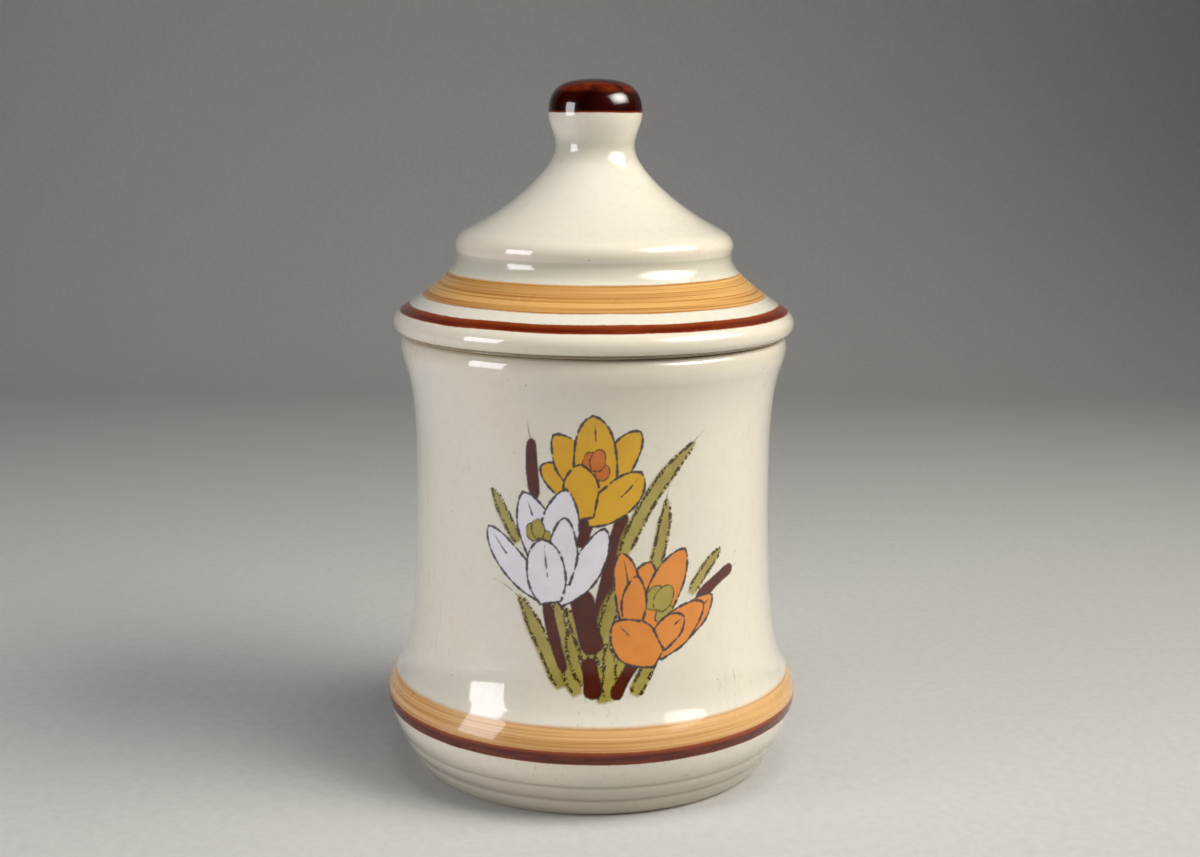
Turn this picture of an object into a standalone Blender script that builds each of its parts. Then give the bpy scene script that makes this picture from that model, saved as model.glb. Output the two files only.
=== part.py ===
"""Food canister: a turned stoneware jar, a domed lid with a hollow knob, and the lid's sealing ring.

The canister stands on its foot ring at z = 0, and every piece is turned about the Z axis.
Outlines are written as (radius, height) in millimetres, and the meshes are made in metres.
"""

import math

import bpy

MM = 0.001

# Driving dimensions, in millimetres
TOP_Z = 254.0  # top of the knob
BELLY_R, BELLY_Z = 77.5, 26.0  # widest ring of the jar
WAIST_R, WAIST_Z = 65.9, 113.0  # narrowest ring of the jar
SHOULDER_R, SHOULDER_Z = 71.1, 157.3  # jar under the lid
RIM_Z = 162.0  # top of the jar's rim
BRIM_R, BRIM_Z = 73.7, 166.8  # widest ring of the lid
STEP_R, STEP_Z = 51.0, 194.5  # rounded step of the dome
NECK_R, NECK_Z = 14.5, 230.0  # below the knob
KNOB_R, KNOB_Z = 17.2, 242.0  # widest ring of the knob
JAR_WALL = 6.0
LID_WALL = 5.0
FLOOR_Z = 8.0  # inside floor of the jar
FOOT_OUTER_R, FOOT_INNER_R = 63.4, 57.5
FOOT_RECESS = 2.2
MOUTH_R = 63.5
GAP = 0.3  # between neighbouring pieces

# Locating flange of the lid and the groove for its seal
FLANGE_R = 61.0
FLANGE_BOTTOM_Z = 151.0
GROOVE_R = 59.0
GROOVE_LOW_Z, GROOVE_HIGH_Z = 155.0, 159.7

# Turned ribs under the belly: the (radius, height) of each groove from the belly to the foot
RIB_GROOVES = [(77.2, 24.2), (73.1, 13.6), (69.9, 7.5), (66.3, 1.6)]
RIB_BULGE = 0.6

STEPS = 48  # sides of every turned piece


def bezier(start, start_handle, end_handle, end, count):
    """Points of a cubic curve, without its first point."""
    points = []
    for i in range(1, count + 1):
        t = i / count
        s = 1.0 - t
        weights = (s**3, 3 * s * s * t, 3 * s * t * t, t**3)
        corners = (start, start_handle, end_handle, end)
        points.append(tuple(sum(w * p[k] for w, p in zip(weights, corners)) for k in (0, 1)))
    return points


def arc(centre, radius, start_angle, end_angle, count):
    """Points of a round corner, both ends included, with angles in degrees from +radius."""
    points = []
    for i in range(count + 1):
        angle = math.radians(start_angle + (end_angle - start_angle) * i / count)
        points.append((centre[0] + radius * math.cos(angle), centre[1] + radius * math.sin(angle)))
    return points


def bulged(start, end, bulge, count):
    """A shallow outward bow between two grooves, without its first point."""
    run, rise = end[0] - start[0], end[1] - start[1]
    length = math.hypot(run, rise)
    points = []
    for i in range(1, count + 1):
        t = i / count
        out = bulge * math.sin(math.pi * t)
        points.append((start[0] + run * t - rise / length * out, start[1] + rise * t + run / length * out))
    return points


def jar_outline():
    """From the middle of the inside floor, up the inside, over the rim and down to the foot."""
    inside_belly = (BELLY_R - JAR_WALL - 0.7, BELLY_Z)
    inside_flare = (66.0, 41.0)
    inside_waist = (WAIST_R - JAR_WALL, WAIST_Z)
    mouth_low = (MOUTH_R, 150.0)
    flare = (72.0, 40.0)
    collar = (69.5, 151.0)

    points = [(0.0, FLOOR_Z), (34.0, FLOOR_Z)]
    points += bezier(points[-1], (62.0, FLOOR_Z), (70.8, 15.0), inside_belly, 6)
    points += bezier(inside_belly, (70.8, 32.0), (68.4, 36.2), inside_flare, 3)
    points += bezier(inside_flare, (62.2, 48.6), (59.9, 75.0), inside_waist, 5)
    points += bezier(inside_waist, (59.9, 132.0), (63.1, 143.0), mouth_low, 5)
    points += arc((MOUTH_R + 1.5, RIM_Z - 1.5), 1.5, 180.0, 90.0, 3)
    points += bezier((67.2, RIM_Z), (70.0, RIM_Z), (SHOULDER_R, 160.4), (SHOULDER_R, SHOULDER_Z), 5)
    points += bezier(points[-1], (SHOULDER_R, 155.0), (70.1, 152.9), collar, 2)
    points += bezier(collar, (66.7, 142.3), (WAIST_R, 133.0), (WAIST_R, WAIST_Z), 6)
    points += bezier(points[-1], (WAIST_R, 74.0), (68.2, 47.6), flare, 7)
    points += bezier(flare, (74.2, 35.4), (BELLY_R, 31.6), (BELLY_R, BELLY_Z), 5)
    points.append(RIB_GROOVES[0])
    for groove, next_groove in zip(RIB_GROOVES, RIB_GROOVES[1:]):
        points += bulged(groove, next_groove, RIB_BULGE, 4)
    points += bezier(points[-1], (65.8, 0.7), (64.8, 0.0), (FOOT_OUTER_R, 0.0), 2)
    points += [(FOOT_INNER_R, 0.0), (FOOT_INNER_R - 1.5, FOOT_RECESS), (0.0, FOOT_RECESS)]
    return points


def lid_outside():
    """From the top of the knob down the dome to the underside of the brim."""
    knob_edge = (KNOB_R, KNOB_Z)
    neck = (NECK_R, NECK_Z)
    slope = (45.0, 201.0)
    notch = (50.3, 190.8)
    crest = (69.8, 172.0)

    points = [(0.0, TOP_Z)]
    points += bezier(points[-1], (9.6, TOP_Z), (KNOB_R, 252.6), knob_edge, 7)
    points += bezier(knob_edge, (KNOB_R, 237.2), (NECK_R, 234.6), neck, 4)
    points += bezier(neck, (NECK_R, 222.0), (31.0, 208.0), slope, 7)
    points += bezier(slope, (48.2, 199.4), (STEP_R, 197.6), (STEP_R, STEP_Z), 4)
    points += bezier(points[-1], (STEP_R, 193.0), (50.3, 192.2), notch, 2)
    points += bezier(notch, (50.3, 185.2), (61.4, 177.6), crest, 6)
    points += bezier(crest, (72.2, 170.4), (BRIM_R, 169.2), (BRIM_R, BRIM_Z), 4)
    points += bezier(points[-1], (BRIM_R, 164.6), (72.3, 163.4), (70.6, 163.2), 3)
    return points


def lid_outline():
    """The outside of the lid, its seat and flange, and the hollow inside up into the knob."""
    seat_z = RIM_Z + GAP
    inner_flange_r = FLANGE_R - LID_WALL

    points = lid_outside()
    points += [(69.7, seat_z), (FLANGE_R, seat_z)]
    points += [(FLANGE_R, GROOVE_HIGH_Z), (GROOVE_R, GROOVE_HIGH_Z)]
    points += [(GROOVE_R, GROOVE_LOW_Z), (FLANGE_R, GROOVE_LOW_Z)]
    points += arc((FLANGE_R - 1.5, FLANGE_BOTTOM_Z + 1.5), 1.5, 0.0, -90.0, 2)
    points += arc((inner_flange_r + 1.5, FLANGE_BOTTOM_Z + 1.5), 1.5, -90.0, -180.0, 2)
    points.append((inner_flange_r, 164.0))
    points += bezier(points[-1], (inner_flange_r, 172.0), (45.3, 177.5), (45.3, 189.5), 5)
    points += bezier(points[-1], (45.3, 195.0), (41.0, 195.6), (36.5, 198.0), 3)
    points += bezier(points[-1], (23.0, 205.5), (9.4, 216.0), (9.4, 229.5), 6)
    points += bezier(points[-1], (9.4, 234.5), (12.2, 237.0), (12.2, 241.5), 3)
    points += bezier(points[-1], (12.2, 247.0), (7.0, 249.0), (0.0, 249.0), 3)
    return points


def seal_outline():
    """A ring with a square root in the groove and a rounded lip towards the jar's mouth."""
    root_r = GROOVE_R + GAP
    lip_r = MOUTH_R - GAP
    low_z = GROOVE_LOW_Z + GAP
    high_z = GROOVE_HIGH_Z - GAP
    middle_z = (low_z + high_z) / 2
    points = [(root_r, high_z), (FLANGE_R + GAP, high_z)]
    points += bezier(points[-1], (62.2, high_z), (lip_r, 158.4), (lip_r, middle_z), 3)
    points += bezier(points[-1], (lip_r, 156.3), (62.2, low_z), (FLANGE_R + GAP, low_z), 3)
    points.append((root_r, low_z))
    return points


def make_material(name, colour, roughness):
    material = bpy.data.materials.new(name)
    material.use_nodes = True
    shader = material.node_tree.nodes["Principled BSDF"]
    shader.inputs["Base Color"].default_value = (*colour, 1.0)
    shader.inputs["Roughness"].default_value = roughness
    shader.inputs["Metallic"].default_value = 0.0
    return material


def turned(name, outline, closed, material, collection):
    """One piece turned about Z from its outline."""
    vertices = [(radius * MM, 0.0, height * MM) for radius, height in outline]
    edges = [(i, i + 1) for i in range(len(vertices) - 1)]
    if closed:
        edges.append((len(vertices) - 1, 0))
    mesh = bpy.data.meshes.new(name)
    mesh.from_pydata(vertices, edges, [])
    mesh.materials.append(material)
    piece = bpy.data.objects.new(name, mesh)
    collection.objects.link(piece)
    screw = piece.modifiers.new("Turn", "SCREW")
    screw.steps = STEPS
    screw.render_steps = STEPS
    screw.use_merge_vertices = True
    screw.merge_threshold = 0.00001
    screw.use_smooth_shade = True
    return piece


def clear_scene():
    for piece in list(bpy.data.objects):
        bpy.data.objects.remove(piece, do_unlink=True)


def build():
    clear_scene()
    collection = bpy.data.collections.new("food_canister")
    bpy.context.scene.collection.children.link(collection)
    glazed = make_material("ivory_glaze", (0.80, 0.74, 0.60), 0.18)
    rubber = make_material("seal_rubber", (0.62, 0.60, 0.54), 0.75)
    turned("jar_body", jar_outline(), False, glazed, collection)
    turned("lid", lid_outline(), False, glazed, collection)
    turned("lid_seal", seal_outline(), True, rubber, collection)


build()
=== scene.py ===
"""Food canister: fine turned surfaces, glaze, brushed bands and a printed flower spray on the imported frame.

Outlines and the print are worked out in millimetres, and the meshes are made in metres.
A print position is (u, z): u is the arc length round the jar from the front, and z the height.
"""

import math

import bmesh
import bpy
import numpy as np
from mathutils import Matrix, Vector


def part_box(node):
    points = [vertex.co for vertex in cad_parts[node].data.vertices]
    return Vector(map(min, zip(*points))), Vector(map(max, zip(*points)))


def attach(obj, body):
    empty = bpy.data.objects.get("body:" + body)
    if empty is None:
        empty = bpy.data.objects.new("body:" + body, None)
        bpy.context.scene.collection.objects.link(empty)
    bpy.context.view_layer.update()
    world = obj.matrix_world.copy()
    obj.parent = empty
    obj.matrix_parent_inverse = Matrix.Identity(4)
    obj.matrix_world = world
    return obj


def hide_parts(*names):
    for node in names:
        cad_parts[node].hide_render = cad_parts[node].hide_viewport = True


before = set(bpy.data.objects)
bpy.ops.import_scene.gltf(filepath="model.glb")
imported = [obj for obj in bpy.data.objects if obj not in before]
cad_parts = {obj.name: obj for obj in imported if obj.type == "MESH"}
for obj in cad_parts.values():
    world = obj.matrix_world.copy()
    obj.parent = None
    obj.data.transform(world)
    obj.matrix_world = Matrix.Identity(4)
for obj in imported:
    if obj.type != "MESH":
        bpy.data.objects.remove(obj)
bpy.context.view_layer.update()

MM = 0.001
SEGMENTS = 200  # sides of the turned ceramic pieces
SEAL_SEGMENTS = 144
MERGE = 1e-6

# Painted rings, as heights in millimetres: (low, high)
JAR_BAND = (27.6, 35.8)
JAR_LINE = (23.3, 27.9)
# JAR_SEAM and LID_SEAM are where painted shade darkens the seam between jar and lid
JAR_SEAM = (161.2, 161.9)
LID_SEAM = (162.1, 163.7)
LID_BAND = (176.4, 185.0)
LID_LINE = (170.8, 173.4)
KNOB_GLAZE = (242.0, 260.0)  # runs over the top of the knob
KNOB_STREAKS = (249.6, 252.9)
# heights of the rib grooves, darkened partly by pooled glaze and partly by painted shade
RIB_GROOVES = (13.6, 7.5)
BLISTER = (0.0330, -0.0656, 0.0150)  # a burst bubble in the glaze, under the belly, in metres

# The print, in millimetres
PRINT_RADIUS = 67.0  # turns an angle round the jar into an arc length
PRINT_U = (-44.0, 62.0)
PRINT_Z = (40.0, 146.0)
PRINT_GRID = 0.25
PRINT_LIFT = 0.04  # how far the print stands off the jar


# ---------------------------------------------------------------- outlines of the turned pieces

def section(node):
    """The (radius, height) outline of a turned CAD node, in order, and whether it closes on itself."""
    mesh = bmesh.new()
    mesh.from_mesh(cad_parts[node].data)
    bmesh.ops.remove_doubles(mesh, verts=mesh.verts, dist=MERGE)
    place = {v: (v.co.x / MM, v.co.z / MM) for v in mesh.verts if abs(v.co.y) < MERGE and v.co.x > -MERGE}
    links = {v: set() for v in place}
    for edge in mesh.edges:
        a, b = edge.verts
        if a in links and b in links:
            links[a].add(b)
            links[b].add(a)
    join_flat_rings(place, links)
    ends = [v for v in links if len(links[v]) == 1]
    start = min(ends or links, key=lambda v: (round(place[v][0], 3), -place[v][1]))
    order = [start]
    while True:
        onward = [v for v in links[order[-1]] if v not in order]
        if not onward:
            break
        order.append(min(onward, key=lambda v: place[v][0]))
    points = [place[v] for v in order]
    mesh.free()
    if not ends:
        return np.array(points), True
    if points[0][0] > 0.01:
        points.insert(0, (0.0, points[0][1]))
    if points[-1][0] > 0.01:
        points.append((0.0, points[-1][1]))
    return np.array(points), False


def join_flat_rings(place, links):
    """A flat ring may have no edge along the section, so two loose ends at one height belong together."""
    ends = [v for v in links if len(links[v]) == 1]
    pairs = [(abs(place[a][0] - place[b][0]), i, j) for i, a in enumerate(ends) for j, b in enumerate(ends)
             if i < j and abs(place[a][1] - place[b][1]) < 0.001]
    for _, i, j in sorted(pairs):
        a, b = ends[i], ends[j]
        if len(links[a]) == 1 and len(links[b]) == 1:
            links[a].add(b)
            links[b].add(a)


def turn_at(before, here, after):
    """How sharply an outline turns at a point, in degrees."""
    first, second = here - before, after - here
    cross = first[0] * second[1] - first[1] * second[0]
    return abs(math.degrees(math.atan2(cross, first @ second)))


def smooth_run(points, step, from_axis, to_axis):
    """Points of a curve through a run of points, without the last one."""
    mirror = np.array([-1.0, 1.0])
    first = points[1] * mirror if from_axis else 2 * points[0] - points[1]
    last = points[-2] * mirror if to_axis else 2 * points[-1] - points[-2]
    line = np.vstack([first, points, last])
    knots = np.concatenate([[0.0], np.cumsum(np.sqrt(np.linalg.norm(np.diff(line, axis=0), axis=1)))])
    found = []
    for k in range(1, len(line) - 2):
        p0, p1, p2, p3 = line[k - 1:k + 3]
        t0, t1, t2, t3 = knots[k - 1:k + 3]
        leave = ((p1 - p0) / (t1 - t0) - (p2 - p0) / (t2 - t0) + (p2 - p1) / (t2 - t1)) * (t2 - t1)
        arrive = ((p2 - p1) / (t2 - t1) - (p3 - p1) / (t3 - t1) + (p3 - p2) / (t3 - t2)) * (t2 - t1)
        count = max(2, math.ceil(np.linalg.norm(p2 - p1) / step(p1)))
        for i in range(count):
            t = i / count
            found.append((2 * t**3 - 3 * t**2 + 1) * p1 + (t**3 - 2 * t**2 + t) * leave
                         + (3 * t**2 - 2 * t**3) * p2 + (t**3 - t**2) * arrive)
    return found


def refined(points, closed, step, fillet=0.45, corner=50.0):
    """A fine outline through the CAD outline's points, with sharp corners rounded as glaze rounds them."""
    count = len(points)
    if closed:
        turns = [turn_at(points[i - 1], points[i], points[(i + 1) % count]) for i in range(count)]
        corners = [i for i in range(count) if turns[i] > corner]
        points = np.roll(points, -corners[0], axis=0)
        corners = [i - corners[0] for i in corners] + [count]
        points = np.vstack([points, points[:1]])
    else:
        inner = range(1, count - 1)
        corners = [0] + [i for i in inner if turn_at(points[i - 1], points[i], points[i + 1]) > corner]
        corners.append(count - 1)
    found = []
    for a, b in zip(corners, corners[1:]):
        run = points[a:b + 1].copy()
        rounded_start = closed or a > 0
        rounded_end = closed or b < count - 1
        if rounded_start:
            reach = run[1] - run[0]
            run[0] = run[0] + reach * min(0.4, fillet / np.linalg.norm(reach))
        if rounded_end:
            reach = run[-2] - run[-1]
            run[-1] = run[-1] + reach * min(0.4, fillet / np.linalg.norm(reach))
        found += smooth_run(run, step, not closed and a == 0, not closed and b == count - 1)
        if rounded_end:
            after = points[(b + 1) % count if closed else b + 1] - points[b]
            leave = points[b] + after * min(0.4, fillet / np.linalg.norm(after))
            for t in (0.0, 0.25, 0.5, 0.75):
                found.append((1 - t)**2 * run[-1] + 2 * t * (1 - t) * points[b] + t * t * leave)
        elif not closed:
            found.append(run[-1])
    outline = np.array(found)
    low, high = points.min(0), points.max(0)
    return np.clip(outline, low, high)


def hollow_share(outline):
    """0 to 1 along an outline: how deep a hollow is there, where glaze gathers."""
    smooth = outline.copy()
    for _ in range(10):
        smooth[1:-1] = (smooth[:-2] + 2 * smooth[1:-1] + smooth[2:]) / 4
    move = np.diff(smooth, axis=0)
    angle = np.unwrap(np.arctan2(move[:, 1], move[:, 0]))
    bend = np.zeros(len(outline))
    bend[1:-1] = np.diff(angle) / np.maximum(np.linalg.norm(move, axis=1)[1:], 0.2)
    return np.clip(0.5 + bend * 4.0, 0.0, 1.0)


def unevenness(angle, z):
    """How far a hand-finished wall lies inside its true circle, in millimetres. Never outside it."""
    slow = 0.08 * (1 + np.sin(2 * angle + 0.7 + 0.012 * z))
    middle = 0.035 * (1 + np.sin(3 * angle - 1.9 - 0.021 * z))
    quick = 0.012 * (1 + np.sin(7 * angle + 0.05 * z))
    throwing = 0.05 * (1 + np.sin(5 * angle + 0.45 * z)) * np.clip((24 - z) / 4, 0, 1)
    return slow + middle + quick + throwing


def turned(name, outline, closed, outside, bare, segments=SEGMENTS):
    """A piece turned about Z. outside and bare hold each point's share of unevenness and of bare clay."""
    rings = len(outline)
    pole = [r < 0.001 for r, _ in outline]
    hollow = hollow_share(outline)
    along = np.concatenate([[0.0], np.cumsum(np.linalg.norm(np.diff(outline, axis=0), axis=1))])
    along = along / (along[-1] + 1.0)
    vertices, index, bare_values, hollow_values = [], [], [], []
    for i, (radius, z) in enumerate(outline):
        columns = 1 if pole[i] else segments
        angle = np.arange(columns) * 2 * math.pi / segments + math.pi / 2
        size = radius - unevenness(angle, z) * outside[i] * (radius > 1)
        index.append([len(vertices) + (0 if pole[i] else j % segments) for j in range(segments + 1)])
        vertices += zip(size * np.cos(angle) * MM, size * np.sin(angle) * MM, np.full(columns, z * MM))
        bare_values += [bare[i]] * columns
        hollow_values += [hollow[i]] * columns
    faces, coordinates = [], []
    for i in range(rings if closed else rings - 1):
        k = (i + 1) % rings
        low, high = along[i], along[k] if k else 1.0
        for j in range(segments):
            left, right = j / segments, (j + 1) / segments
            corners = [(index[i][j], left, low), (index[k][j], left, high),
                       (index[k][j + 1], right, high), (index[i][j + 1], right, low)]
            if pole[i]:
                corners.pop(3)
            if pole[k]:
                corners.pop(2)
            faces.append([c[0] for c in corners])
            coordinates += [c[1:] for c in corners]
    mesh = bpy.data.meshes.new(name)
    mesh.from_pydata([tuple(v) for v in vertices], [], faces)
    layer = mesh.uv_layers.new(name="OFBake")
    layer.data.foreach_set("uv", np.array(coordinates, np.float32).ravel())
    for title, values in (("bare", bare_values), ("hollow", hollow_values)):
        attribute = mesh.attributes.new(title, "FLOAT", "POINT")
        attribute.data.foreach_set("value", np.array(values, np.float32))
    mesh.shade_smooth()
    point_outwards(mesh)
    piece = bpy.data.objects.new(name, mesh)
    bpy.context.scene.collection.objects.link(piece)
    return piece


def point_outwards(mesh):
    work = bmesh.new()
    work.from_mesh(mesh)
    bmesh.ops.recalc_face_normals(work, faces=work.faces)
    work.to_mesh(mesh)
    work.free()


# ---------------------------------------------------------------- node helpers

def srgb(red, green, blue):
    """A colour given as 0 to 255 on screen, as linear light."""
    shares = (red / 255, green / 255, blue / 255)
    return tuple(c / 12.92 if c <= 0.04 else ((c + 0.055) / 1.055) ** 2.4 for c in shares)


class Nodes:
    """Short ways to add nodes to one material."""

    def __init__(self, name):
        self.material = bpy.data.materials.new(name)
        self.material.use_nodes = True
        self.tree = self.material.node_tree
        self.shader = self.tree.nodes["Principled BSDF"]

    def put(self, socket, value):
        if isinstance(value, bpy.types.NodeSocket):
            self.tree.links.new(value, socket)
        elif isinstance(value, tuple) and len(value) == 3 and socket.type == "RGBA":
            socket.default_value = (*value, 1.0)
        else:
            socket.default_value = value

    def add(self, kind, inputs, **settings):
        node = self.tree.nodes.new(kind)
        for key, value in settings.items():
            setattr(node, key, value)
        for key, value in inputs.items():
            self.put(node.inputs[key], value)
        return node

    def math(self, operation, *values):
        return self.add("ShaderNodeMath", dict(enumerate(values)), operation=operation).outputs[0]

    def step(self, value, low, high, to_low=0.0, to_high=1.0):
        """Goes smoothly from to_low to to_high as value goes from low to high."""
        inputs = {"Value": value, "From Min": low, "From Max": high, "To Min": to_low, "To Max": to_high}
        return self.add("ShaderNodeMapRange", inputs, interpolation_type="SMOOTHSTEP").outputs[0]

    def mix(self, factor, first, second):
        return self.add("ShaderNodeMix", {0: factor, 6: first, 7: second}, data_type="RGBA").outputs[2]

    def place(self, scale=(1.0, 1.0, 1.0), shift=(0.0, 0.0, 0.0)):
        """The piece's own coordinates, stretched."""
        if not hasattr(self, "own"):
            self.own = self.add("ShaderNodeTexCoord", {}).outputs["Object"]
        if scale == (1.0, 1.0, 1.0) and shift == (0.0, 0.0, 0.0):
            return self.own
        inputs = {"Vector": self.own, "Scale": scale, "Location": shift}
        return self.add("ShaderNodeMapping", inputs).outputs[0]

    def noise(self, scale, detail=2.0, roughness=0.5, stretch=(1.0, 1.0, 1.0), shift=(0.0, 0.0, 0.0)):
        where = self.place(stretch, shift)
        inputs = {"Vector": where, "Scale": scale, "Detail": detail, "Roughness": roughness}
        return self.add("ShaderNodeTexNoise", inputs).outputs["Fac"]

    def spots(self, cells_per_metre, radius, share, shift=(0.0, 0.0, 0.0)):
        """Sparse round spots. radius is in cells, and share of the cells carry one."""
        inputs = {"Vector": self.place(shift=shift), "Scale": cells_per_metre}
        cell = self.add("ShaderNodeTexVoronoi", inputs)
        chosen = self.math("GREATER_THAN", self.channel(cell.outputs["Color"], 0), 1 - share)
        return self.math("MULTIPLY", self.step(cell.outputs["Distance"], radius, radius * 0.55), chosen)

    def channel(self, vector, axis):
        return self.add("ShaderNodeSeparateXYZ", {"Vector": vector}).outputs[axis]

    def value(self, name):
        return self.add("ShaderNodeAttribute", {}, attribute_name=name).outputs["Fac"]


# ---------------------------------------------------------------- materials

IVORY, IVORY_COOL = srgb(233, 226, 209), srgb(229, 224, 210)
GLAZE_MOTTLE = srgb(216, 208, 187)
GLAZE_GATHERED, GLAZE_THIN = srgb(196, 193, 172), srgb(236, 222, 196)
# In the rib grooves: partly pooled glaze, partly painted shade
# Under the belly: partly the glaze's own greyer tone, partly painted shade
UNDER_BELLY_GLAZE_AND_SHADE, GROOVE_GLAZE_AND_SHADE = srgb(158, 150, 132), srgb(132, 126, 104)
HAIRLINE = srgb(176, 166, 146)
IRON_SPECK, IRON_DUST = srgb(120, 84, 48), srgb(150, 122, 84)
# Painted shade for the seam between jar and lid
SEAM_PAINTED_SHADE = srgb(96, 84, 66)
CLAY_DARK, CLAY_LIGHT = srgb(198, 172, 138), srgb(222, 203, 176)
JAR_OCHRE = (srgb(226, 182, 124), srgb(212, 162, 102), srgb(186, 130, 74))  # light, middle, dark
LID_OCHRE = (srgb(220, 172, 104), srgb(204, 150, 80), srgb(152, 94, 36))
JAR_BROWN = (srgb(82, 12, 1), srgb(150, 66, 16))  # core, rim
LID_BROWN = (srgb(94, 26, 9), srgb(142, 62, 24))
TREACLE_DARK, TREACLE_LIGHT = srgb(28, 3, 1), srgb(48, 8, 3)
TREACLE_EDGE, TREACLE_STREAK = srgb(146, 62, 24), srgb(118, 42, 16)
RUBBER_LIGHT, RUBBER_DARK, RUBBER_DUST = srgb(206, 201, 186), srgb(192, 186, 168), srgb(160, 152, 134)


def ring_mask(n, height, low, high, soft_low, soft_high):
    """1 between two heights, with a soft edge to each."""
    rising = n.step(height, low - soft_low / 2, low + soft_low / 2)
    falling = n.step(height, high - soft_high / 2, high + soft_high / 2, 1.0, 0.0)
    return n.math("MULTIPLY", rising, falling)


def brushed_band(n, colour, height, low, high, soft, shades):
    """A band of thin colour laid on with a brush as the pot turned: streaks run round it."""
    light, middle, dark = shades
    streaks = n.noise(1.0, 2.0, 0.5, (9.0, 9.0, 2300.0))
    broad = n.noise(1.0, 2.0, 0.5, (9.0, 9.0, 420.0), (3.0, 1.0, 0.0))
    loading = n.noise(14.0, 2.0)
    tone = n.mix(n.step(streaks, 0.41, 0.58), light, middle)
    tone = n.mix(n.math("MULTIPLY", n.step(streaks, 0.54, 0.66), 0.6), tone, dark)
    tone = n.mix(n.math("MULTIPLY", n.step(broad, 0.46, 0.72), 0.4), tone, dark)
    tone = n.mix(n.math("MULTIPLY", n.step(loading, 0.5, 0.75), 0.35), tone, light)
    edge = n.step(height, low + 0.2, low + 2.6, 0.55, 0.0)
    tone = n.mix(n.math("MULTIPLY", edge, n.step(streaks, 0.3, 0.7)), tone, dark)
    mask = ring_mask(n, height, low, high, *soft)
    return n.mix(mask, colour, tone), mask


def brown_line(n, colour, height, low, high, core, rim):
    """A fine line of iron brown that burns to orange at its edges."""
    outer = ring_mask(n, height, low, high, 0.35, 0.35)
    inner = ring_mask(n, height, low + 0.3, high - 0.9, 0.6, 1.6)
    density = n.noise(1.0, 3.0, 0.6, (40.0, 40.0, 500.0), (0.0, 2.0, 5.0))
    body = n.mix(n.step(density, 0.45, 0.75), core, rim)
    tone = n.mix(inner, rim, n.mix(0.55, core, body))
    return n.mix(outer, colour, tone), outer


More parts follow.
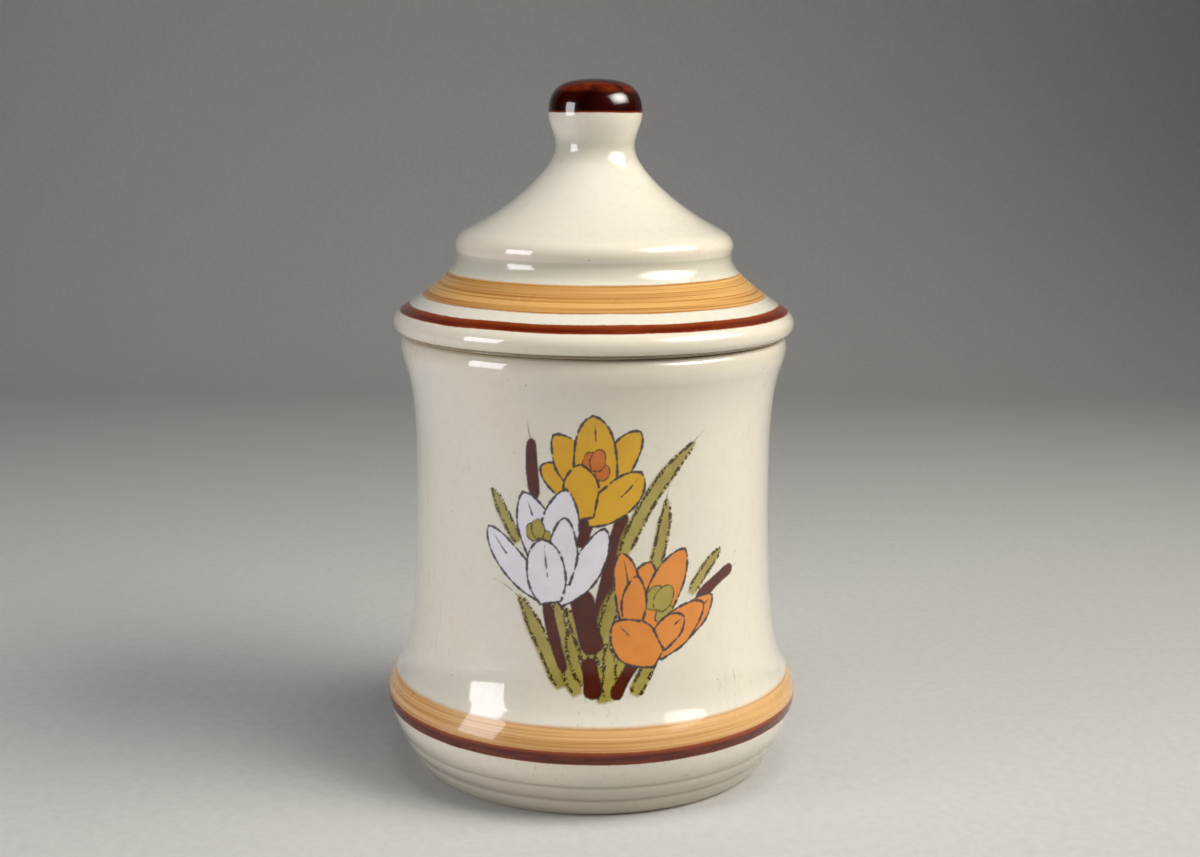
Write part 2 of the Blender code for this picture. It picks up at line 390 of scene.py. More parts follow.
def glazed(name, paint):
    """Ivory glaze over stoneware. paint adds the painted rings, and says where their brush marks are."""
    n = Nodes(name)
    height = n.math("MULTIPLY", n.channel(n.place(), 2), 1000.0)
    wander = n.math("MULTIPLY_ADD", n.noise(34.0, 2.0), 0.7, -0.35)
    shake = n.math("MULTIPLY_ADD", n.noise(420.0, 2.0), 0.26, -0.13)
    height = n.math("ADD", n.math("ADD", height, wander), shake)

    cloud = n.noise(22.0, 3.0, 0.55)
    mottle = n.noise(330.0, 3.0, 0.6)
    colour = n.mix(n.step(cloud, 0.35, 0.68), IVORY, IVORY_COOL)
    colour = n.mix(n.math("MULTIPLY", n.step(mottle, 0.42, 0.8), 0.28), colour, GLAZE_MOTTLE)
    gathered = n.step(n.value("hollow"), 0.54, 0.95)
    colour = n.mix(n.math("MULTIPLY", gathered, 0.6), colour, GLAZE_GATHERED)
    thin = n.step(n.value("hollow"), 0.32, 0.02)
    colour = n.mix(n.math("MULTIPLY", thin, 0.3), colour, GLAZE_THIN)

    drawn = n.noise(1.0, 2.0, 0.5, (900.0, 900.0, 9.0))
    patch = n.step(n.noise(17.0, 1.0, 0.5, shift=(0.4, 0.1, 0.2)), 0.5, 0.62)
    hairs = n.math("MULTIPLY", n.step(drawn, 0.64, 0.70), patch)
    colour = n.mix(n.math("MULTIPLY", hairs, 0.34), colour, HAIRLINE)

    colour, brushed = paint(n, colour, height)

    iron = n.spots(150.0, 0.045, 0.5)
    iron_fine = n.spots(330.0, 0.06, 0.35, (0.03, 0.02, 0.01))
    colour = n.mix(n.math("MULTIPLY", iron, 0.75), colour, IRON_SPECK)
    colour = n.mix(n.math("MULTIPLY", iron_fine, 0.45), colour, IRON_DUST)

    ink = n.add("ShaderNodeAttribute", {}, attribute_name="ink").outputs["Color"]
    cover = n.value("cover")
    colour = n.mix(cover, colour, ink)

    clay_grain = n.noise(900.0, 4.0, 0.7)
    clay = n.mix(n.step(clay_grain, 0.3, 0.7), CLAY_DARK, CLAY_LIGHT)
    bare = n.step(n.math("ADD", n.value("bare"), n.math("MULTIPLY_ADD", mottle, 0.3, -0.15)), 0.4, 0.6)
    colour = n.mix(bare, colour, clay)
    n.put(n.shader.inputs["Base Color"], colour)

    smudge = n.noise(48.0, 4.0, 0.6)
    gloss = n.step(smudge, 0.35, 0.8, 0.16, 0.27)
    gloss = n.math("ADD", gloss, n.math("MULTIPLY", brushed, 0.1))
    n.put(n.shader.inputs["Roughness"], n.math("MAXIMUM", gloss, n.math("MULTIPLY", bare, 0.85)))
    glaze_left = n.math("MULTIPLY_ADD", brushed, -0.4, 1.0)
    n.put(n.shader.inputs["Coat Weight"], n.math("SUBTRACT", glaze_left, bare))
    n.shader.inputs["Coat Roughness"].default_value = 0.035
    n.shader.inputs["Coat IOR"].default_value = 1.55
    n.shader.inputs["IOR"].default_value = 1.5
    n.shader.inputs["Specular IOR Level"].default_value = 0.2

    peel = n.noise(260.0, 2.0, 0.5)
    ripple = n.noise(52.0, 2.0, 0.5)
    pits = n.spots(120.0, 0.05, 0.45, (0.5, 0.2, 0.1))
    relief = n.math("MULTIPLY_ADD", ripple, 0.9, n.math("MULTIPLY", peel, 0.1))
    brush_relief = n.math("MULTIPLY", brushed, n.noise(700.0, 3.0, 0.6))
    relief = n.math("ADD", relief, n.math("MULTIPLY", brush_relief, 0.06))
    relief = n.math("SUBTRACT", relief, n.math("MULTIPLY", pits, 0.5))
    relief = n.math("ADD", relief, n.math("MULTIPLY", bare, n.math("MULTIPLY", clay_grain, 0.6)))
    burst = n.add("ShaderNodeVectorMath", {0: n.place(), 1: BLISTER}, operation="DISTANCE")
    blister = burst.outputs["Value"]
    relief = n.math("SUBTRACT", relief, n.step(blister, 0.0006, 0.0016, 1.6, 0.0))
    relief = n.math("ADD", relief, n.math("MULTIPLY", cover, 0.05))
    bump = n.add("ShaderNodeBump", {"Height": relief, "Strength": 0.35, "Distance": 0.0004}).outputs[0]
    n.put(n.shader.inputs["Normal"], bump)
    n.put(n.shader.inputs["Coat Normal"], bump)
    return n.material


def seam_shade(n, colour, height, low, high, strength):
    """Painted shade that darkens the narrow seam between jar and lid, where the gap lies in shadow."""
    mask = n.math("MULTIPLY", ring_mask(n, height, low, high, 0.5, 0.5), strength)
    return n.mix(mask, colour, SEAM_PAINTED_SHADE)


def jar_paint(n, colour, height):
    # Painted shade on the jar's edge of the seam under the lid
    colour = seam_shade(n, colour, height, *JAR_SEAM, 0.3)
    # Greyer and darker under the belly: partly the glaze's tone, partly painted shade on the underside
    colour = n.mix(n.step(height, 22.0, 9.0, 0.0, 0.6), colour, UNDER_BELLY_GLAZE_AND_SHADE)
    for groove in RIB_GROOVES:
        # Darker in the rib grooves: partly pooled glaze, partly painted shade
        pool_and_shade = ring_mask(n, height, groove - 0.7, groove + 0.4, 1.2, 1.2)
        colour = n.mix(n.math("MULTIPLY", pool_and_shade, 0.5), colour, GROOVE_GLAZE_AND_SHADE)
    colour, band = brushed_band(n, colour, height, *JAR_BAND, (0.3, 1.7), JAR_OCHRE)
    colour, line = brown_line(n, colour, height, *JAR_LINE, *JAR_BROWN)
    return colour, n.math("MAXIMUM", band, line)


def lid_paint(n, colour, height):
    # Painted shade under the lid's brim, at the seam
    colour = seam_shade(n, colour, height, *LID_SEAM, 0.8)
    colour, band = brushed_band(n, colour, height, *LID_BAND, (0.5, 0.5), LID_OCHRE)
    colour, line = brown_line(n, colour, height, *LID_LINE, *LID_BROWN)
    cap = ring_mask(n, height, *KNOB_GLAZE, 0.35, 0.3)
    run = n.noise(1.0, 3.0, 0.5, (120.0, 120.0, 40.0))
    treacle = n.mix(n.step(run, 0.4, 0.75), TREACLE_DARK, TREACLE_LIGHT)
    treacle = n.mix(n.step(height, 242.9, 242.2, 0.0, 0.7), treacle, TREACLE_EDGE)
    shoulder = ring_mask(n, height, *KNOB_STREAKS, 2.0, 1.4)
    streaked = n.math("MULTIPLY", shoulder, n.step(run, 0.35, 0.7, 0.05, 0.85))
    treacle = n.mix(streaked, treacle, TREACLE_STREAK)
    colour = n.mix(cap, colour, treacle)
    return colour, n.math("MAXIMUM", band, line)


def soft_rubber(name):
    """Off-white rubber with dust, flow marks and a dull skin."""
    n = Nodes(name)
    cloud = n.noise(60.0, 3.0, 0.6)
    dust = n.noise(1800.0, 2.0, 0.7)
    colour = n.mix(n.step(cloud, 0.3, 0.7), RUBBER_LIGHT, RUBBER_DARK)
    colour = n.mix(n.math("MULTIPLY", n.step(dust, 0.5, 0.8), 0.35), colour, RUBBER_DUST)
    n.put(n.shader.inputs["Base Color"], colour)
    n.put(n.shader.inputs["Roughness"], n.step(cloud, 0.3, 0.8, 0.5, 0.68))
    n.shader.inputs["IOR"].default_value = 1.42
    grain = n.math("ADD", n.noise(2600.0, 2.0), n.noise(1.0, 2.0, 0.5, (60.0, 60.0, 2400.0)))
    bump = n.add("ShaderNodeBump", {"Height": grain, "Strength": 0.3, "Distance": 0.0001})
    n.put(n.shader.inputs["Normal"], bump.outputs[0])
    return n.material


# ---------------------------------------------------------------- the printed flowers

YELLOW, YELLOW_DEEP = (224, 172, 38), (206, 146, 22)
WHITE, WHITE_DEEP = (238, 233, 240), (214, 208, 218)
ORANGE, ORANGE_DEEP = (228, 144, 58), (208, 116, 38)
GREEN, GREEN_DEEP = (172, 158, 72), (140, 124, 48)
BROWN, BROWN_DEEP = (88, 34, 18), (62, 20, 10)
RUST, RUST_DEEP = (208, 116, 46), (184, 88, 30)
PEN = (56, 52, 58)
PENCIL = (112, 108, 100)
STIPPLE = (62, 44, 20)


class Print:
    """A fine grid of colour and cover that shapes are drawn on, from back to front."""

    def __init__(self):
        self.u = np.arange(PRINT_U[0], PRINT_U[1] + PRINT_GRID / 2, PRINT_GRID)
        self.z = np.arange(PRINT_Z[0], PRINT_Z[1] + PRINT_GRID / 2, PRINT_GRID)
        self.grid_u, self.grid_z = np.meshgrid(self.u, self.z)
        self.colour = np.zeros((*self.grid_u.shape, 3))
        self.cover = np.zeros(self.grid_u.shape)
        self.random = np.random.default_rng(7)
        self.grain = self.cloth(0.5)
        self.wash = self.cloth(3.5)
        self.slow = self.cloth(9.0)

    def cloth(self, size):
        """Smooth noise from 0 to 1 over the grid, with marks of about that size in millimetres."""
        rows = int((PRINT_Z[1] - PRINT_Z[0]) / size) + 3
        columns = int((PRINT_U[1] - PRINT_U[0]) / size) + 3
        knots = self.random.random((rows, columns))
        v = (self.grid_z - PRINT_Z[0]) / size
        h = (self.grid_u - PRINT_U[0]) / size
        i, j = v.astype(int), h.astype(int)
        a, b = v - i, h - j
        a, b = a * a * (3 - 2 * a), b * b * (3 - 2 * b)
        low = knots[i, j] * (1 - b) + knots[i, j + 1] * b
        high = knots[i + 1, j] * (1 - b) + knots[i + 1, j + 1] * b
        return low * (1 - a) + high * a

    def window(self, line, margin):
        """The part of the grid round a line, as two slices."""
        low, high = line.min(0) - margin, line.max(0) + margin
        j = np.clip(np.searchsorted(self.u, (low[0], high[0])), 0, len(self.u))
        i = np.clip(np.searchsorted(self.z, (low[1], high[1])), 0, len(self.z))
        return slice(i[0], i[1]), slice(j[0], j[1])

    def distance(self, where, line):
        """Distance to a line of points, and how far along it the nearest point is, in millimetres."""
        x, y = self.grid_u[where], self.grid_z[where]
        best, along = np.full(x.shape, 1e9), np.zeros(x.shape)
        walked = 0.0
        for (ax, ay), (bx, by) in zip(line, line[1:]):
            dx, dy = bx - ax, by - ay
            length = math.hypot(dx, dy) or 1e-9
            t = np.clip(((x - ax) * dx + (y - ay) * dy) / length**2, 0, 1)
            away = np.hypot(x - ax - t * dx, y - ay - t * dy)
            closer = away < best
            best = np.where(closer, away, best)
            along = np.where(closer, walked + t * length, along)
            walked += length
        return best, along

    def inside(self, where, line):
        x, y = self.grid_u[where], self.grid_z[where]
        odd = np.zeros(x.shape, bool)
        for (ax, ay), (bx, by) in zip(line, line[1:]):
            crosses = (ay > y) != (by > y)
            at = ax + (y - ay) * (bx - ax) / ((by - ay) or 1e-9)
            odd ^= crosses & (x < at)
        return odd

    def lay(self, where, alpha, colour):
        """Paint colour over what is there."""
        alpha = np.clip(alpha, 0, 1)
        old = self.cover[where]
        cover = alpha + old * (1 - alpha)
        share = np.where(cover > 1e-6, alpha / np.maximum(cover, 1e-6), 0)[..., None]
        self.colour[where] = self.colour[where] * (1 - share) + colour * share
        self.cover[where] = cover

    def fill(self, line, colour, deep, edge=0.3, strength=1.0, mottled=0.5):
        """A filled shape: thin colour with clouds in it, a little denser along its edge."""
        where = self.window(line, 1.5)
        away, _ = self.distance(where, line)
        signed = np.where(self.inside(where, line), away, -away)
        alpha = np.clip(0.5 + signed / edge, 0, 1) * strength
        clouds = 0.6 * self.wash[where] + 0.6 * self.slow[where] + 0.3 * self.grain[where] - 0.45
        dense_edge = 0.25 * np.exp(-np.maximum(signed, 0) / 0.5)
        tone = np.clip(mottled * clouds + dense_edge, 0, 1)[..., None]
        mixed = np.array(srgb(*colour)) * (1 - tone) + np.array(srgb(*deep)) * tone
        self.lay(where, alpha, mixed)

    def stroke(self, line, width, colour, strength=0.95, breaks=0.1, stipple=0.0, taper=0.0):
        """A pen line. breaks is the share of it that skips, and stipple how much it crumbles into dots."""
        where = self.window(line, 1.5)
        away, along = self.distance(where, line)
        length = np.linalg.norm(np.diff(line, axis=0), axis=1).sum()
        phase = self.random.random(4) * 6.28
        pressure = 1 + 0.28 * np.sin(along * 0.9 + phase[0]) + 0.16 * np.sin(along * 2.7 + phase[1])
        if taper:
            pressure = pressure * np.clip((length - along) / (taper * length), 0.25, 1)
        half = width / 2 * pressure
        skip = np.sin(along * 0.42 + phase[2]) + 0.6 * np.sin(along * 1.3 + phase[3])
        here = np.clip((skip + 1.75 - 3.2 * breaks) * 3, 0, 1)
        alpha = np.clip((half - away) / 0.22 + 0.5, 0, 1) * here * strength
        if stipple:
            alpha = alpha * np.clip((self.grain[where] - stipple * 0.62) * 6 + 0.25, 0, 1)
        self.lay(where, alpha, np.array(srgb(*colour)))


def bow(start, bend, end, count=24):
    """Points of a line that bows towards bend, both ends included."""
    t = np.linspace(0, 1, count)[:, None]
    return (1 - t)**2 * np.array(start) + 2 * t * (1 - t) * np.array(bend) + t * t * np.array(end)


def blade(spine, width):
    """A closed outline round a spine. width gives the half width at each share of its length."""
    share = np.linspace(0, 1, len(spine))
    along = np.gradient(spine, axis=0)
    along = along / np.linalg.norm(along, axis=1)[:, None]
    side = np.stack([-along[:, 1], along[:, 0]], 1) * width(share)[:, None]
    return np.vstack([spine + side, (spine - side)[::-1], (spine + side)[:1]])


PETAL_WIDEST = 0.52  # share of its length where a petal is widest
PETAL_POINT = 0.64  # under 1 is blunt
LOBE_POINT = 0.6
MISPRINT = np.array([0.08, -0.05])  # how far a petal's pen line is out of place


def petal_line(base, tip, half, bend, point, phase):
    """A petal: narrow at its base, widest near the middle and rounded to a blunt point."""
    base, tip = np.array(base), np.array(tip)
    reach = tip - base
    across = np.array([-reach[1], reach[0]])
    spine = bow(base, (base + tip) / 2 + across * bend, tip, 30)

    def width(t):
        below = np.clip(t / PETAL_WIDEST, 0, 1)
        above = np.clip((t - PETAL_WIDEST) / (1 - PETAL_WIDEST), 0, 1)
        body = (0.5 + 0.5 * np.sin(math.pi / 2 * below)) * (1 - above ** 1.9) ** point
        return half * body * (1 + 0.06 * np.sin(7 * t + phase))

    return blade(spine, width), spine


def draw_petal(sheet, base, tip, half, bend, colour, deep, vein):
    """vein is the share of the petal's length, from its tip, that carries a middle vein."""
    phase = base[0] * 1.3 + tip[1] * 0.7
    line, spine = petal_line(base, tip, half, bend, PETAL_POINT, phase)
    sheet.fill(line, colour, deep)
    sheet.stroke(line + MISPRINT, 0.82, PEN, breaks=0.05)
    if vein:
        inner = spine[int(len(spine) * (1 - vein)):int(len(spine) * 0.93)]
        sheet.stroke(inner + np.array([0.5, 0.1]), 0.62, PEN, 0.9, breaks=0.08, taper=0.5)


LEAF_MISPRINT = np.array([0.35, 0.2])


def draw_leaf(sheet, start, bend, tip, half):
    """A soft-edged leaf whose crumbling outline was printed a little out of place."""
    spine = bow(start, bend, tip, 36)

    def width(t):
        return half * np.minimum(1, (1.02 - t) * 3.2) ** 0.6 * np.minimum(1, 0.35 + t * 4.5) ** 0.6

    line = blade(spine, width)
    sheet.fill(line, GREEN, GREEN_DEEP, edge=1.1, strength=0.96, mottled=0.8)
    inner = blade(spine, lambda t: width(t) * 0.78) + LEAF_MISPRINT
    count = len(spine)
    sheet.stroke(inner[2:count - 1], 1.15, STIPPLE, 0.95, breaks=0.03, stipple=0.52)
    sheet.stroke(inner[count + 2:2 * count - 3], 1.15, STIPPLE, 0.95, breaks=0.08, stipple=0.52)


def draw_stem(sheet, start, bend, tip, half):
    """A thick brown stem or bulrush with round ends."""
    spine = bow(start, bend, tip, 30)

    def width(t):
        return half * (1 - (2 * t - 1) ** 6) ** 0.5 * (1 + 0.08 * np.sin(7 * t + start[0]))

    line = blade(spine, width)
    sheet.fill(line, BROWN, BROWN_DEEP, edge=0.45, mottled=0.9)
    count = len(spine)
    sheet.stroke(line[:count], 0.34, PEN, 0.7, breaks=0.3, stipple=0.4)
    sheet.stroke(line[count:2 * count], 0.34, PEN, 0.7, breaks=0.3, stipple=0.4)


HEART_LOBES = [  # across, up, half width, length, as shares of the heart's size
    (-0.42, 0.1, 0.36, 0.9),
    (0.4, -0.25, 0.33, 0.75),
    (-0.02, 0.25, 0.36, 1.0),
]


def draw_heart(sheet, centre, size, tilt, colour, deep):
    """The stamens in a flower: three lobes close together."""
    cos, sin = math.cos(math.radians(tilt)), math.sin(math.radians(tilt))
    turn = np.array([[cos, -sin], [sin, cos]])
    for across, up, half, reach in HEART_LOBES:
        foot = np.array([across * 0.6, up - reach / 2]) * size
        head = np.array([across, up + reach / 2]) * size
        foot, head = turn @ foot + centre, turn @ head + centre
        line, _ = petal_line(foot, head, half * size, 0.05, LOBE_POINT, across)
        sheet.fill(line, colour, deep)
        sheet.stroke(line, 0.45, STIPPLE, 0.9, breaks=0.1, stipple=0.2)


LEAVES = [  # start, bend, tip, half width
    ((10.0, 93.0), (18.5, 117.0), (37.0, 132.0), 2.9),
    ((20.5, 85.0), (25.0, 98.0), (26.5, 113.0), 2.6),
    ((36.0, 78.5), (42.0, 87.5), (50.0, 92.5), 2.2),
    ((-26.5, 97.5), (-31.5, 105.0), (-37.0, 115.5), 2.2),
    ((-10.0, 48.0), (-15.5, 61.0), (-26.0, 79.0), 3.0),
    ((-4.5, 45.8), (-11.5, 61.0), (-12.5, 81.0), 3.1),
    ((1.5, 50.5), (-2.5, 62.0), (-9.0, 76.0), 2.6),
    ((2.5, 57.0), (4.0, 69.0), (8.5, 84.0), 3.1),
    ((3.5, 43.2), (3.5, 50.0), (-1.5, 61.0), 2.4),
    ((5.0, 44.0), (7.5, 53.0), (14.5, 61.0), 2.8),
    ((14.0, 45.5), (17.5, 52.0), (21.5, 59.0), 2.6),
    ((-2.5, 50.0), (-7.5, 58.0), (-7.8, 68.0), 2.4),
    ((4.6, 46.0), (6.6, 54.0), (5.0, 63.5), 2.5),
    ((9.5, 50.0), (9.0, 60.0), (12.5, 69.0), 2.4),
]
STEMS = [
    ((-20.0, 113.0), (-22.0, 124.0), (-21.3, 134.5), 2.1),
    ((1.0, 60.0), (4.5, 87.0), (11.3, 109.8), 2.7),
    ((-4.5, 97.0), (-3.5, 102.0), (-2.0, 109.0), 3.0),
    ((1.5, 60.0), (-3.0, 70.0), (-3.6, 82.5), 4.0),
    ((-9.0, 53.5), (-13.5, 65.0), (-16.2, 79.5), 1.9),
    ((0.2, 44.5), (0.8, 51.0), (-1.6, 58.5), 2.9),
    ((7.5, 44.2), (10.5, 52.0), (16.5, 59.0), 2.1),
    ((38.5, 75.8), (47.0, 82.3), (56.2, 85.2), 2.2),
]
PENCIL_LINES = [
    ((36.0, 131.0), (37.8, 134.3), (41.0, 135.8)),
    ((26.3, 112.0), (26.2, 115.0), (27.6, 118.0)),
    ((-21.6, 134.0), (-22.6, 137.0), (-22.4, 141.0)),
    ((-26.0, 78.5), (-30.0, 82.0), (-36.0, 83.6)),
    ((55.5, 84.7), (57.5, 85.6), (59.6, 85.6)),
    ((10.8, 108.5), (11.6, 111.5), (13.0, 114.0)),
]
# Petals from back to front: base, tip, half width, bend, length of the vein
YELLOW_BACK = [
    ((-4.0, 113.0), (-18.2, 125.0), 5.0, -0.10, 0.0),
    ((-2.5, 114.5), (-13.6, 136.0), 5.9, -0.12, 0.0),
    ((4.0, 115.0), (16.2, 137.2), 5.6, 0.10, 0.0),
    ((0.8, 110.0), (-0.2, 143.0), 7.8, -0.03, 0.3),
]
YELLOW_FRONT = [
    ((-2.4, 107.6), (16.8, 123.0), 6.4, -0.16, 0.45),
    ((-2.6, 107.2), (-4.6, 126.0), 5.9, 0.04, 0.0),
]
WHITE_BACK = [
    ((-16.5, 86.0), (-24.8, 115.4), 6.2, -0.07, 0.3),
    ((-12.5, 84.0), (-9.2, 117.2), 6.6, 0.05, 0.0),
    ((-15.5, 79.5), (-38.6, 102.0), 5.2, 0.10, 0.35),
    ((-12.4, 78.4), (4.2, 103.8), 5.4, -0.15, 0.0),
]
WHITE_FRONT = [
    ((-10.2, 84.0), (-9.6, 107.4), 4.9, 0.03, 0.0),
    ((-14.4, 77.4), (-17.4, 99.4), 7.2, 0.04, 0.6),
]
ORANGE_BACK = [
    ((14.5, 69.0), (20.6, 91.5), 5.2, 0.08, 0.0),
    ((12.5, 70.0), (9.8, 95.2), 4.7, -0.08, 0.45),
    ((18.0, 63.0), (33.8, 95.0), 6.3, 0.07, 0.0),
    ((28.5, 61.5), (45.6, 76.8), 4.8, 0.08, 0.3),
]
ORANGE_FRONT = [
    ((14.0, 66.0), (15.6, 87.0), 4.2, 0.03, 0.0),
    ((22.0, 58.8), (41.6, 74.6), 6.0, 0.10, 0.0),
    ((21.0, 60.0), (33.2, 71.0), 4.8, 0.14, 0.35),
    ((23.2, 57.6), (7.8, 71.2), 7.4, 0.10, 0.35),
]


def draw_petals(sheet, petals, colour, deep):
    for base, tip, half, bend, vein in petals:
        draw_petal(sheet, base, tip, half, bend, colour, deep, vein)


def flower_print():
    """The spray: three crocus flowers over leaves and bulrush stems."""
    sheet = Print()
    for line in PENCIL_LINES:
        sheet.stroke(bow(*line), 0.5, PENCIL, 0.75, breaks=0.05, taper=0.8)
    for stem in STEMS[:2]:
        draw_stem(sheet, *stem)
    for leaf in LEAVES:
        draw_leaf(sheet, *leaf)
    for stem in STEMS[2:]:
        draw_stem(sheet, *stem)
    draw_petals(sheet, YELLOW_BACK, YELLOW, YELLOW_DEEP)
    draw_heart(sheet, (1.6, 125.6), 7.6, -14, RUST, RUST_DEEP)
    draw_petals(sheet, YELLOW_FRONT, YELLOW, YELLOW_DEEP)
    draw_petals(sheet, ORANGE_BACK, ORANGE, ORANGE_DEEP)
    draw_heart(sheet, (24.6, 76.2), 9.6, -32, GREEN, GREEN_DEEP)
    draw_petals(sheet, ORANGE_FRONT, ORANGE, ORANGE_DEEP)
    draw_petals(sheet, WHITE_BACK, WHITE, WHITE_DEEP)
    draw_heart(sheet, (-18.6, 101.4), 6.8, 8, GREEN, GREEN_DEEP)
    draw_petals(sheet, WHITE_FRONT, WHITE, WHITE_DEEP)
    return sheet


def print_piece(name, sheet, wall, material):
    """A thin skin on the jar that carries the print. wall is the jar's outer outline, from high to low."""
    radius = np.interp(sheet.grid_z, wall[::-1, 1], wall[::-1, 0])
    angle = sheet.grid_u / PRINT_RADIUS - math.pi / 2
    radius = radius - unevenness(angle, sheet.grid_z) + PRINT_LIFT
    places = np.stack([radius * np.cos(angle), radius * np.sin(angle), sheet.grid_z], -1)
    vertices = places.reshape(-1, 3) * MM
    inked = sheet.cover > 0.004
    for axis in (0, 1):
        inked = inked | np.roll(inked, 1, axis) | np.roll(inked, -1, axis)
    keep = inked[:-1, :-1] | inked[1:, :-1] | inked[:-1, 1:] | inked[1:, 1:]
    rows, columns = sheet.grid_u.shape
    number = np.arange(rows * columns).reshape(rows, columns)
    faces = np.stack([number[:-1, :-1], number[:-1, 1:], number[1:, 1:], number[1:, :-1]], -1)[keep]
    used = np.unique(faces)
    renumber = np.zeros(rows * columns, int)
    renumber[used] = np.arange(len(used))
    mesh = bpy.data.meshes.new(name)
    mesh.from_pydata(vertices[used].tolist(), [], renumber[faces].tolist())
    ink = mesh.attributes.new("ink", "FLOAT_COLOR", "POINT")
    colours = np.concatenate([sheet.colour.reshape(-1, 3)[used], np.ones((len(used), 1))], 1)
    ink.data.foreach_set("color", colours.astype(np.float32).ravel())
    cover = mesh.attributes.new("cover", "FLOAT", "POINT")
    cover.data.foreach_set("value", sheet.cover.reshape(-1)[used].astype(np.float32))
    hollow = mesh.attributes.new("hollow", "FLOAT", "POINT")
    hollow.data.foreach_set("value", np.full(len(used), 0.5, np.float32))
    size = max(PRINT_U[1] - PRINT_U[0], PRINT_Z[1] - PRINT_Z[0])
    flat = np.stack([sheet.grid_u - PRINT_U[0], sheet.grid_z - PRINT_Z[0]], -1).reshape(-1, 2) / size
    layer = mesh.uv_layers.new(name="OFBake")
    layer.data.foreach_set("uv", flat[faces.reshape(-1)].astype(np.float32).ravel())
    mesh.shade_smooth()
    mesh.materials.append(material)
    piece = bpy.data.objects.new(name, mesh)
    bpy.context.scene.collection.objects.link(piece)
    return piece


# ---------------------------------------------------------------- the pieces

def make_jar(material):
    """Makes the jar, and gives the outline of its outer wall from the rim down to the belly."""
    points, _ = section("jar_body")
    rim_z = points[:, 1].max()
    rim_at = int(np.argmax(points[:, 1]))
    outer = {tuple(p) for p in points[rim_at:]}
    outline = refined(points, False, lambda p: 0.95 if tuple(p) in outer else 2.4)
    top = int(np.argmax(outline[:, 1]))
    outside = np.zeros(len(outline))
    outside[top + 12:] = 1.0
    outside = np.convolve(outside, np.ones(9) / 9, mode="same") * (outline[:, 1] > 2.6)
    foot = (outline[:, 1] < 0.55) & (outline[:, 0] > 50)
    bare = np.convolve(foot.astype(float), np.ones(3) / 3, mode="same")
    jar = turned("glazed_jar", outline, False, outside, bare)
    jar.data.materials.append(material)
    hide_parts("jar_body")
    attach(jar, "jar")
    wall = outline[top + 20:]
    return wall[wall[:, 1] > 20.0]


def make_lid(material):
    """The lid. Its seat and flange are bare clay outside, where glaze would stick it to the jar."""
    points, _ = section("lid")
    seat_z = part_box("jar_body")[1].z / MM + 0.3
    seat_at = next(i for i, p in enumerate(points) if abs(p[1] - seat_z) < 0.02)
    outer = {tuple(p) for p in points[:seat_at]}
    outline = refined(points, False, lambda p: 0.8 if tuple(p) in outer else 2.2)
    brim = int(np.argmax(outline[:, 0]))
    outside = np.zeros(len(outline))
    outside[:brim + 3] = 1.0
    outside = np.convolve(outside, np.ones(9) / 9, mode="same")
    hidden = (np.arange(len(outline)) > brim) & (outline[:, 1] < seat_z + 0.4) & (outline[:, 1] > 151.0)
    inner_face = (outline[:, 0] < 56.3) & (outline[:, 1] > 152.0)
    bare = np.convolve((hidden & ~inner_face).astype(float), np.ones(3) / 3, mode="same")
    lid = turned("glazed_lid", outline, False, outside, bare)
    lid.data.materials.append(material)
    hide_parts("lid")
    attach(lid, "lid")


def make_seal(material):
    """The sealing ring, with the fine line that its mould left round the lip."""
    points, closed = section("lid_seal")
    outline = refined(points, closed, lambda p: 0.25, fillet=0.2)
    middle = (points[:, 1].max() + points[:, 1].min()) / 2
    lip = points[:, 0].max()
    share = np.clip((outline[:, 0] - (lip - 0.6)) / 0.6, 0, 1)
    outline[:, 0] -= 0.1 * share * (1 - np.exp(-((outline[:, 1] - middle) / 0.16) ** 2))
    none = np.zeros(len(outline))
    seal = turned("soft_seal", outline, closed, none, none, SEAL_SEGMENTS)
    seal.data.materials.append(material)
    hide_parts("lid_seal")
    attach(seal, "seal")


# ---------------------------------------------------------------- studio

CAMERA_PLACE = Vector((0.0, -0.6389, 0.2485))
CAMERA_PITCH, CAMERA_YAW, CAMERA_ROLL = 10.88, 0.229, 0.435  # degrees: down, to the right, and roll
CAMERA_LENS = 52.22


def make_camera():
    pitch, yaw, roll = (math.radians(a) for a in (CAMERA_PITCH, CAMERA_YAW, CAMERA_ROLL))
    forward = Vector((math.sin(yaw) * math.cos(pitch), math.cos(yaw) * math.cos(pitch), -math.sin(pitch)))
    level = Vector((math.cos(yaw), -math.sin(yaw), 0.0))
    upward = level.cross(forward)
    right = level * math.cos(roll) + upward * math.sin(roll)
    up = upward * math.cos(roll) - level * math.sin(roll)
    data = bpy.data.cameras.new("camera")
    data.lens = CAMERA_LENS
    data.clip_start = 0.01
    camera = bpy.data.objects.new("camera", data)
    turn = Matrix((right, up, -forward)).transposed()
    camera.matrix_world = Matrix.Translation(CAMERA_PLACE) @ turn.to_4x4()
    bpy.context.scene.collection.objects.link(camera)
    bpy.context.scene.camera = camera


OBJECT_MIDDLE = (0.0, 0.0, 0.13)
SOFT_SPREAD = 110  # degrees
PAPER_DARK, PAPER_LIGHT = (0.54, 0.535, 0.52), (0.58, 0.57, 0.55)
WARM, COOL, NEUTRAL = (1.0, 0.965, 0.90), (0.96, 0.95, 1.0), (1.0, 0.98, 0.95)


def make_light(name, place, target, size, power, colour, reflected=True, soft=True):
    """A softbox. A soft one is brightest in its middle, and falls off towards its edge."""
    data = bpy.data.lights.new(name, "AREA")
    data.shape = "RECTANGLE"
    data.size, data.size_y = size
    data.energy = power
    data.color = colour
    if soft:
        data.spread = math.radians(SOFT_SPREAD)
        fade_to_edge(data)
    light = bpy.data.objects.new(name, data)
    light.location = place
    light.rotation_euler = (Vector(target) - Vector(place)).to_track_quat("-Z", "Y").to_euler()
    light.visible_glossy = reflected
    bpy.context.scene.collection.objects.link(light)


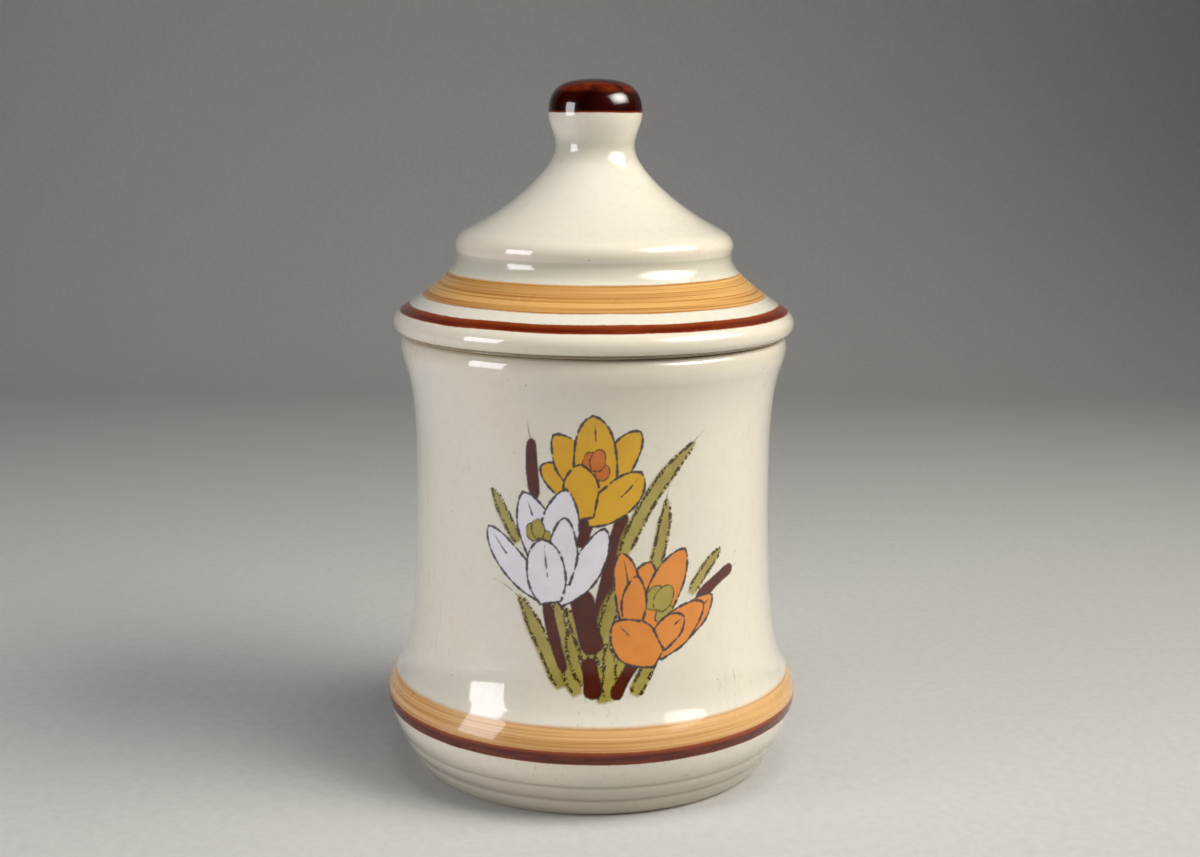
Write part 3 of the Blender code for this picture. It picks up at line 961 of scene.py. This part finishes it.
def fade_to_edge(data):
    """Makes a softbox brighter in its middle than at its edge."""
    data.use_nodes = True
    tree = data.node_tree
    place_on_light = tree.nodes.new("ShaderNodeNewGeometry").outputs["Parametric"]
    from_middle = tree.nodes.new("ShaderNodeVectorMath")
    from_middle.operation = "DISTANCE"
    from_middle.inputs[1].default_value = (0.5, 0.5, 0.0)
    tree.links.new(place_on_light, from_middle.inputs[0])
    fall = tree.nodes.new("ShaderNodeMapRange")
    fall.interpolation_type = "SMOOTHSTEP"
    for key, value in {"From Min": 0.62, "From Max": 0.15, "To Min": 0.25, "To Max": 1.6}.items():
        fall.inputs[key].default_value = value
    tree.links.new(from_middle.outputs["Value"], fall.inputs["Value"])
    tree.links.new(fall.outputs[0], tree.nodes["Emission"].inputs["Strength"])


def make_backdrop():
    """A pale sweep: a floor that curves up into a wall behind."""
    depth, width, rise, cove = 1.3, 3.2, 2.2, 0.5
    profile = [(-2.2, 0.0), (depth - cove, 0.0)]
    for i in range(1, 17):
        angle = math.pi / 2 * i / 16
        profile.append((depth - cove + cove * math.sin(angle), cove - cove * math.cos(angle)))
    profile.append((depth, rise))
    vertices = [(side * width, y, z) for y, z in profile for side in (-1, 1)]
    faces = [(2 * i, 2 * i + 1, 2 * i + 3, 2 * i + 2) for i in range(len(profile) - 1)]
    mesh = bpy.data.meshes.new("backdrop")
    mesh.from_pydata(vertices, [], faces)
    mesh.shade_smooth()
    n = Nodes("backdrop_paper")
    grain = n.noise(240.0, 3.0, 0.6)
    n.put(n.shader.inputs["Base Color"], n.mix(n.step(grain, 0.3, 0.7), PAPER_DARK, PAPER_LIGHT))
    n.shader.inputs["Roughness"].default_value = 0.75
    mesh.materials.append(n.material)
    backdrop = bpy.data.objects.new("backdrop", mesh)
    bpy.context.scene.collection.objects.link(backdrop)


def make_world():
    world = bpy.data.worlds.new("studio")
    world.use_nodes = True
    background = world.node_tree.nodes["Background"]
    background.inputs["Color"].default_value = (0.93, 0.95, 1.0, 1.0)
    background.inputs["Strength"].default_value = 0.06
    world.cycles_visibility.glossy = False
    bpy.context.scene.world = world


make_camera()
make_world()
make_backdrop()
make_light("key_right", (0.88, -0.31, 0.88), OBJECT_MIDDLE, (1.0, 0.7), 7.0, WARM)
make_light("window_left", (-0.86, -0.45, 0.32), OBJECT_MIDDLE, (0.40, 0.52), 4.6, COOL, soft=False)
make_light("overhead", (0.08, -0.16, 0.90), (0.0, 0.0, 0.2), (0.5, 0.4), 0.85, NEUTRAL, reflected=False)
bpy.context.scene.view_settings.view_transform = "Standard"

jar_glaze = glazed("jar_glaze", jar_paint)
lid_glaze = glazed("lid_glaze", lid_paint)
jar_wall = make_jar(jar_glaze)
make_lid(lid_glaze)
make_seal(soft_rubber("seal_rubber"))
flowers = print_piece("flower_print", flower_print(), jar_wall, jar_glaze)
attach(flowers, "jar")
